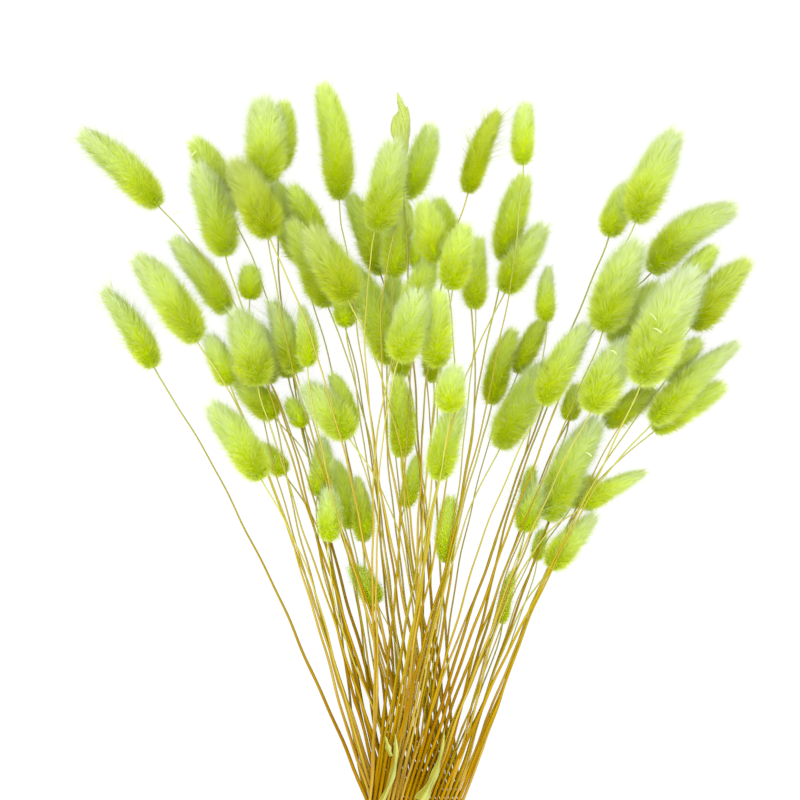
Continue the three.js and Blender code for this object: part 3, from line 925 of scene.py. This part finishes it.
def attach(socket: NodeSocket, value: object) -> None:
    """Links an output to an input, or sets the input to a plain value."""
    if isinstance(value, NodeSocket):
        socket.id_data.links.new(value, socket)
    else:
        socket.default_value = value


def feed(node: Node, **values: object) -> Node:
    """Links or sets a node's inputs by name, with an underscore for a space, and returns the node."""
    for name, value in values.items():
        attach(node.inputs[name.replace("_", " ")], value)
    return node


def ramp(tree: NodeTree, factor: NodeSocket, stops: list[tuple[float, Colour]]) -> NodeSocket:
    """A colour ramp.

    Args:
        tree: The tree that it goes into.
        factor: The output that picks the place on it.
        stops: Places from 0 to 1 and linear colours.

    Returns:
        Its colour.
    """
    node = feed(tree.nodes.new("ShaderNodeValToRGB"), Fac=factor)
    elements = node.color_ramp.elements
    while len(elements) < len(stops):
        elements.new(0.5)
    for element, (place, colour) in zip(elements, stops):
        element.position = place
        element.color = colour
    return node.outputs["Color"]


def own_map(tree: NodeTree) -> tuple[NodeSocket, NodeSocket]:
    """The width and the height on the piece's own map."""
    place = tree.nodes.new("ShaderNodeUVMap")
    place.uv_map = MAP_NAME
    parts = feed(tree.nodes.new("ShaderNodeSeparateXYZ"), Vector=place.outputs["UV"])
    return parts.outputs["X"], parts.outputs["Y"]


def mixed(tree: NodeTree, kind: str, factor: object, first: object, second: object) -> NodeSocket:
    """Mixes two colours, each given as an output or a colour.

    Args:
        tree: The tree.
        kind: The blend, as Blender names it.
        factor: An output or a number.
        first: The lower colour.
        second: The upper colour.

    Returns:
        The mixed colour.
    """
    node = tree.nodes.new("ShaderNodeMix")
    node.data_type = "RGBA"
    node.blend_type = kind
    for name, value in (("Factor_Float", factor), ("A_Color", first), ("B_Color", second)):
        attach(next(socket for socket in node.inputs if socket.identifier == name), value)
    return next(socket for socket in node.outputs if socket.identifier == "Result_Color")


@dataclass(frozen=True)
class PlushFinish:
    """Soft hair: deep at the root, pale at the tip, with a scale of tints from olive to bright."""

    name: str
    part: Part
    through: float
    root: Colour = linear(204, 216, 0)
    middle: Colour = linear(216, 230, 90)
    end: Colour = linear(206, 215, 196)
    olive: Colour = (0.82, 0.81, 0.36, 1.0)
    bright: Colour = (1.04, 1.02, 1.2, 1.0)
    roughness: float = 0.85

    def material(self) -> Material:
        """Base colour by the map's height, times a tint by its width, with some light let through."""
        material, shader, tree = new_material(self.name)
        tone, along = own_map(tree)
        stops = ((0.0, self.root), (0.26, self.root), (0.56, self.middle), (0.92, self.end))
        depth = ramp(tree, along, [(self.part.at(share), colour) for share, colour in stops])
        # The olive end of this scale also gives the deep-tinted heads their painted shade.
        tints = ramp(tree, tone, [(0.0, self.olive), (Tint.PLAIN.value, grey(1.0)), (1.0, self.bright)])
        colour = mixed(tree, "MULTIPLY", 1.0, depth, tints)
        feed(shader, Base_Color=colour, Roughness=self.roughness, Specular_IOR_Level=0.0)
        if self.through:
            glow = feed(tree.nodes.new("ShaderNodeBsdfTranslucent"), Color=colour)
            blend = feed(tree.nodes.new("ShaderNodeMixShader"), Fac=self.through)
            attach(blend.inputs[1], shader.outputs["BSDF"])
            attach(blend.inputs[2], glow.outputs["BSDF"])
            feed(tree.nodes["Material Output"], Surface=blend.outputs["Shader"])
        return material


def streaks() -> NodeTree:
    """A shared effect: fine streaks along a stem or leaf, from noise stretched along the map's height."""
    group = bpy.data.node_groups.new("lengthwise_streaks", "ShaderNodeTree")
    for name, way in (("Across", "INPUT"), ("Along", "INPUT"), ("Shade", "OUTPUT")):
        group.interface.new_socket(name, in_out=way, socket_type="NodeSocketFloat")
    entry = group.nodes.new("NodeGroupInput")
    scaled = []
    for place, name in zip(own_map(group), ("Across", "Along")):
        times = group.nodes.new("ShaderNodeMath")
        times.operation = "MULTIPLY"
        attach(times.inputs[0], place)
        attach(times.inputs[1], entry.outputs[name])
        scaled.append(times.outputs["Value"])
    join = feed(group.nodes.new("ShaderNodeCombineXYZ"), X=scaled[0], Y=scaled[1])
    noise = group.nodes.new("ShaderNodeTexNoise")
    noise.noise_dimensions = "2D"
    feed(noise, Vector=join.outputs["Vector"], Scale=1.0, Detail=3.0)
    feed(group.nodes.new("NodeGroupOutput"), Shade=noise.outputs["Fac"])
    return group


def place_group(tree: NodeTree, group: NodeTree, **values: float) -> Node:
    """Places a shared effect in a tree with its own values."""
    node = tree.nodes.new("ShaderNodeGroup")
    node.node_tree = group
    return feed(node, **values)


@dataclass(frozen=True)
class StrawFinish:
    """Dry stem: brown-gold low down, gold above, pale green below the head, with fine streaks."""

    name: str
    shade: float = 1.0
    pale: float = 0.0
    foot: Colour = linear(158, 112, 0)
    gold: Colour = linear(170, 130, 0)
    straw: Colour = linear(178, 160, 26)
    neck: Colour = linear(188, 198, 94)
    dark: Colour = linear(112, 72, 0)
    bleached: Colour = linear(206, 190, 108)
    roughness: float = 0.6
    specular: float = 0.015

    def toned(self, colour: Colour) -> Colour:
        """A colour bleached by the pale share and then darkened by the shade."""
        pairs = zip(colour, self.bleached)
        return tuple(self.shade * ((1 - self.pale) * own + self.pale * pale) for own, pale in pairs)

    def material(self, effect: NodeTree) -> Material:
        """Colour by the height on the stem, darkened in streaks."""
        material, shader, tree = new_material(self.name)
        _, height = own_map(tree)
        stops = ((0.0, self.foot), (0.35, self.gold), (0.66, self.straw), (0.92, self.neck))
        along = ramp(tree, height, [(place, self.toned(colour)) for place, colour in stops])
        grain = place_group(tree, effect, Across=26.0, Along=9.0)
        shade = ramp(tree, grain.outputs["Shade"], [(0.42, grey(0.0)), (0.7, grey(0.75))])
        colour = mixed(tree, "MIX", shade, along, self.dark)
        feed(shader, Base_Color=colour, Roughness=self.roughness, Specular_IOR_Level=self.specular)
        return material


@dataclass(frozen=True)
class LeafFinish:
    """Dried leaf: pale yellow-green with darker veins, and one half darker where it folds, which is painted
    shade.
    """

    name: str
    blade: Colour = linear(154, 158, 84)
    # Painted shade: the darker colour of the half that folds over.
    fold: Colour = linear(126, 122, 30)
    vein: Colour = linear(98, 88, 4)
    edge: Colour = linear(160, 160, 92)
    roughness: float = 0.6
    specular: float = 0.25
    vein_depth: float = 0.0002

    def material(self, effect: NodeTree) -> Material:
        """Colour across the blade from its edge and its fold half, darker with painted shade, to its open
        side, veined by streaks.
        """
        material, shader, tree = new_material(self.name)
        across, _ = own_map(tree)
        grain = place_group(tree, effect, Across=34.0, Along=2.5).outputs["Shade"]
        veins = ramp(tree, grain, [(0.46, grey(0.0)), (0.66, grey(0.8))])
        stops = ((0.0, self.edge), (0.06, self.fold), (0.4, self.fold), (0.52, self.blade), (1.0, self.blade))
        colour = mixed(tree, "MIX", veins, ramp(tree, across, stops), self.vein)
        bump = feed(tree.nodes.new("ShaderNodeBump"), Strength=0.5, Distance=self.vein_depth, Height=grain)
        feed(
            shader, Base_Color=colour, Roughness=self.roughness, Specular_IOR_Level=self.specular,
            Normal=bump.outputs["Normal"],
        )
        return material


@dataclass
class Leaf:
    """A dried blade over the stems at the waist: folded along its rib, waved and twisted at its tip."""

    node: str
    material: Material
    start: tuple[float, float]
    end: tuple[float, float]
    width: float
    curl: float
    bend: float
    hook: float
    belly: float
    rows: int = 48
    columns: int = 9
    thickness: float = 0.3
    above_solid: float = 0.5
    map_inset: float = 0.97

    def build(self, solid: Object) -> Object:
        """Makes the blade over its solid: a closed thin shell on a grid of length and width.

        It lies over the solid's lowest corners in each eighth of its length, is widest at its belly and
        narrows by 1 - 0.9 s^7. It folds along its rib, turns about it by curl sin^2(pi s^0.8), ripples at
        both edges and drifts sideways by a bend and a hook.

        Args:
            solid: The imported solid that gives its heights.

        Returns:
            The piece.
        """
        start = np.array(self.start) - BOX_MIDDLE
        course = np.array(self.end) - np.array(self.start)
        length = float(np.linalg.norm(course))
        ahead = course / length
        side = np.array([ahead[1], -ahead[0]])
        corners = solid_corners(solid)
        steps = np.round((corners[:, :2] - start) @ ahead / length * 8) / 8
        places = np.unique(steps)
        low = [corners[steps == place, 2].min() for place in places]
        s, q = np.meshgrid(np.linspace(0, 1, self.rows), np.linspace(-1, 1, self.columns), indexing="ij")
        belly = np.exp(-(((s - self.belly) / 0.42) ** 2))
        half = 0.5 * self.width * (0.16 + 0.84 * belly) * (1 - 0.9 * s ** 7)
        turn = self.curl * np.sin(np.pi * s ** 0.8) ** 2
        fold = 0.3 * (1 - np.abs(q)) * half
        ripple = 0.22 * np.abs(q) * half * np.sin(15 * s + 1.7 * q)
        z = np.interp(s, places, low) + self.above_solid + fold + 0.5 * ripple
        z = z + np.sin(turn) * q * half + np.abs(np.sin(turn)) * half
        off = q * half * np.cos(turn) + ripple + self.bend * np.sin(np.pi * s) + self.hook * s ** 4
        xy = start + s[..., None] * course + off[..., None] * side
        sheets = [np.dstack([xy, z + way * self.thickness / 2]).reshape(-1, 3) for way in (1, -1)]
        grid = np.arange(s.size).reshape(s.shape)
        quads = np.stack([grid[:-1, :-1], grid[:-1, 1:], grid[1:, 1:], grid[1:, :-1]], -1).reshape(-1, 4)
        edge = np.concatenate([grid[0], grid[1:, -1], grid[-1, -2::-1], grid[-2:0:-1, 0]])
        after = np.roll(edge, -1)
        rim = np.stack([edge, edge + s.size, after + s.size, after], -1)
        faces = np.vstack([quads, quads[:, ::-1] + s.size, rim])
        flat = np.dstack([(q + 1) / 2, s]).reshape(-1, 2)
        places = np.vstack([flat, 0.5 + self.map_inset * (flat - 0.5)])
        surface = Surface()
        surface.add(np.vstack(sheets), (faces, places[faces]))
        return surface.build(self.node.replace("leaf", "dried_leaf"), [self.material], True)


# The wrapped leaf's parts: a wide lower one, a twisted upper one and a small free point. Each row gives a
# share of the head's length, and the part's half width and sideways offset there in half head widths.
SHEATH_PARTS = (
    ((-0.1, 0.2, 0.0), (0.06, 0.55, -0.1), (0.35, 0.94, -0.26), (0.5, 0.88, -0.26), (0.66, 0.46, -0.44),
     (0.74, 0.04, -0.3)),
    ((0.2, 0.2, 0.1), (0.45, 0.55, 0.1), (0.6, 0.5, 0.24), (0.76, 0.36, 0.16), (0.9, 0.24, -0.12),
     (1.05, 0.04, -0.1)),
    ((0.4, 0.1, 0.4), (0.5, 0.2, 0.48), (0.6, 0.2, 0.54), (0.7, 0.14, 0.58), (0.76, 0.08, 0.6),
     (0.8, 0.02, 0.62)),
)


@dataclass
class Sheath:
    """The dry leaf that still wraps one head: flattened bodies with creases that wind round them."""

    material: Material
    rows: int = 34
    sides: int = 24
    creases: int = 4
    crease_depth: float = 0.16
    twist: float = 2.8
    flatness: float = 0.62
    part_rise: float = 0.8

    def build(self, name: str, flower: Flower) -> Object:
        """Makes the wrapped leaf: each part is flat rings of half (1 + depth cos(creases)) along the head.

        Args:
            name: The piece's name.
            flower: The flower that it wraps.

        Returns:
            The piece.
        """
        surface = Surface()
        angle = round_angles(self.sides)
        for number, part in enumerate(SHEATH_PARTS):
            shares, halves, offsets = np.array(part).T
            t = np.linspace(shares[0], shares[-1], self.rows)
            half, offset = (0.5 * flower.width * np.interp(t, shares, row) for row in (halves, offsets))
            _, side, up = flower.frame_at(t)
            middle = flower.axis(t) + side * offset[:, None] + up * (self.part_rise * number)
            wound = self.creases * (angle - self.twist * t[:, None]) + number
            radius = half[:, None] * (1 + self.crease_depth * np.cos(wound))
            spokes = turned(side[:, None, :], self.flatness * up[:, None, :], angle)
            rings = middle[:, None, :] + radius[..., None] * spokes
            surface.add_tube(rings, rings[[0, -1]].mean(axis=1), np.linspace(0, 1, self.rows), 0.5, 1.0)
        return surface.build(name, [self.material], True)


@dataclass
class Studio:
    """The pale floor, the soft light and the camera that looks straight down."""

    height: float = 4.5
    subject_height: float = 0.03
    sensor: float = 36.0
    picture_size: int = 800
    clip: tuple[float, float] = (0.1, 50.0)
    floor_size: float = 8.0
    floor_glow: float = 0.9
    world_colour: Colour = (1.0, 1.0, 0.86, 1.0)
    world_strength: float = 2.16
    window_place: tuple[float, float, float] = (-1.3, 1.4, 2.0)
    window_size: float = 1.6
    window_power: float = 12.0
    overhead_height: float = 3.0
    overhead_power: float = 2.0
    overhead_spread: float = 30.0

    def floor(self) -> None:
        """A plain pale floor just under the bunch."""
        material, shader, _ = new_material("pale_floor")
        feed(
            shader, Base_Color=grey(0.08), Roughness=1.0, Specular_IOR_Level=0.0, Emission_Color=grey(1.0),
            Emission_Strength=self.floor_glow,
        )
        half = self.floor_size / 2
        corners = [(-half, -half, 0), (half, -half, 0), (half, half, 0), (-half, half, 0)]
        mesh = bpy.data.meshes.new("floor")
        mesh.from_pydata(corners, [], [(0, 1, 2, 3)])
        mesh.materials.append(material)
        placed("floor", mesh)

    def lights(self) -> None:
        """White surroundings, a broad soft window at the upper left and a soft light from overhead."""
        world = bpy.data.worlds.new("white_surroundings")
        world.use_nodes = True
        feed(world.node_tree.nodes["Background"], Color=self.world_colour, Strength=self.world_strength)
        bpy.context.scene.world = world
        window = bpy.data.lights.new("window", "AREA")
        window.energy = self.window_power
        window.size = self.window_size
        lamp = placed("window", window, self.window_place)
        x, y, z = self.window_place / np.linalg.norm(self.window_place)
        lamp.rotation_euler = (math.acos(z), 0.0, math.atan2(y, x) + math.pi / 2)
        overhead = bpy.data.lights.new("overhead", "SUN")
        overhead.energy = self.overhead_power
        overhead.angle = math.radians(self.overhead_spread)
        placed("overhead", overhead, (0.0, 0.0, self.overhead_height))

    def camera(self) -> None:
        """A long lens straight above the picture's middle, framed so that a pixel is MM_PER_PIXEL."""
        x, y = (Bunch.plan(PICTURE_MIDDLE) - BOX_MIDDLE) * MM
        span = self.picture_size * MM_PER_PIXEL * MM
        data = bpy.data.cameras.new("camera")
        data.sensor_width = self.sensor
        data.lens = self.sensor * (self.height - self.subject_height) / span
        data.clip_start, data.clip_end = self.clip
        bpy.context.scene.camera = placed("camera", data, (x, y, self.height))

    def build(self) -> None:
        """Sets up the whole studio."""
        self.floor()
        self.lights()
        self.camera()
        bpy.context.scene.view_settings.view_transform = "Standard"


def dress(piece: Object, node: str) -> None:
    """Puts a piece on the root body, hides the solid that it stands for, and reports it.

    Args:
        piece: The piece.
        node: The solid that it replaces.
    """
    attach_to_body(piece, "root")
    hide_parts(node)
    LOG.info("%s on %s: %d faces", piece.name, node, len(piece.data.polygons))


def main() -> None:
    """Builds the studio, the flowers and the leaves, and reports each piece."""
    logging.basicConfig(level=logging.INFO, format="%(message)s")
    Studio().build()
    bunch = Bunch(frame["nodes"])
    effect = streaks()
    straws = [
        StrawFinish("gold_straw", shade=0.67).material(effect),
        StrawFinish("brown_straw", shade=0.54).material(effect),
        StrawFinish("pale_straw", shade=0.7, pale=0.25).material(effect),
    ]
    # The core's darker root is painted shade at the head's base, where the stem goes in.
    core = PlushFinish(
        "spikelet_core", Part.CORE, 0.0, root=linear(150, 170, 0), middle=linear(176, 198, 0),
        end=linear(190, 208, 20),
    )
    awn = PlushFinish("awn", Part.AWN, 0.3, middle=linear(214, 228, 104), end=linear(172, 186, 150))
    bent = PlushFinish("bent_awn", Part.BENT, 0.0, middle=linear(156, 166, 92))
    coat = PlushFinish("soft_hair", Part.HAIR, 0.5)
    finishes = sorted((coat, core, awn, bent), key=lambda finish: finish.part.slot)
    heads = Heads([finish.material() for finish in finishes])
    # The sheath's slightly darker fold colour is painted shade as well.
    sheath_finish = LeafFinish(
        "green_sheath", blade=linear(156, 166, 102), fold=linear(148, 160, 82), vein=linear(118, 132, 36),
        edge=linear(164, 174, 114),
    )
    sheath = Sheath(sheath_finish.material(effect))
    wrapped = bunch.flowers[SHEATHED_HEAD]
    girth = sum(flower.length * flower.width for flower in bunch.flowers)
    for number, node in enumerate(sorted({flower.node for flower in bunch.flowers})):
        flowers = [flower for flower in bunch.flowers if flower.node == node]
        place = node.replace("flowers_", "")
        stems = Stems(straws[int(len(straws) * seeded(number, 31))])
        dress(stems.build(f"stems_{place}", flowers), node)
        dress(heads.build(f"heads_{place}", flowers, girth), node)
        if node == wrapped.node:
            dress(sheath.build("twisted_sheath", wrapped), node)
    leaf_finish = LeafFinish("dried_leaf").material(effect)
    for leaf in (
        Leaf("leaf_left", leaf_finish, (-19, 1), (-8.8, 41), 5.2, 1.1, 2.4, -2.4, 0.42),
        Leaf("leaf_right", leaf_finish, (3, 3), (17, 43), 7.4, -1.0, 2.6, -0.8, 0.2),
        Leaf("leaf_small", leaf_finish, (-13, 28), (-16, 40), 3.2, 0.5, -0.5, -0.4, 0.4),
    ):
        dress(leaf.build(frame["nodes"][leaf.node]), leaf.node)


if __name__ == "__main__":
    main()
